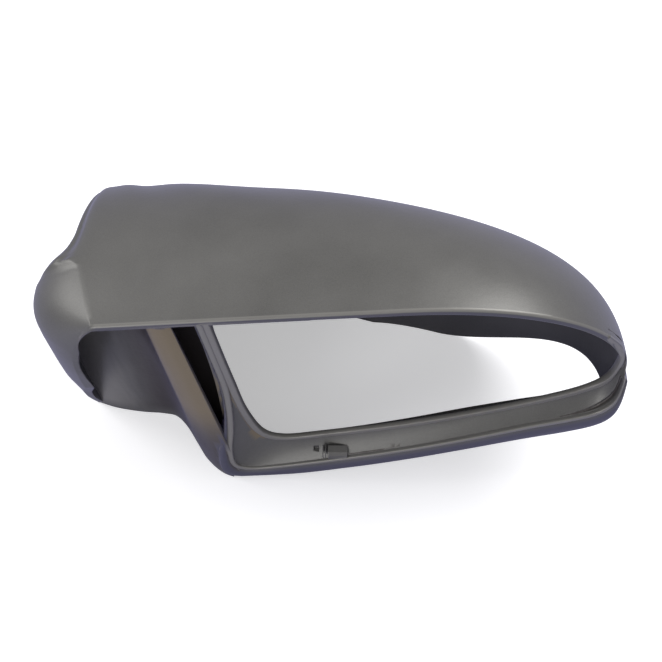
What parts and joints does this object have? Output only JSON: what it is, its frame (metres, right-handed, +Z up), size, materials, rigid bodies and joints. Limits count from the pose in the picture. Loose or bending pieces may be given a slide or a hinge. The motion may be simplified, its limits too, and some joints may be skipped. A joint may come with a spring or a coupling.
{
  "type": "wing mirror cover",
  "caption": "Domed silver shell of a car's door mirror, with the ring around the glass opening and the recess for the folding pivot, moulded in one piece",
  "frame": {"origin": "middle of the bounding box at the height of the base edge", "axes": "X runs outboard along the mirror, Y runs forward from the glass ring to the nose of the dome, Z runs up"},
  "size_m": [0.2497, 0.115, 0.141],
  "materials": {
    "cover": "satin metallic silver paint over moulded plastic"
  },
  "bodies": {
    "root": {"mirror_cover": "cover"}
  },
  "joints": []
}
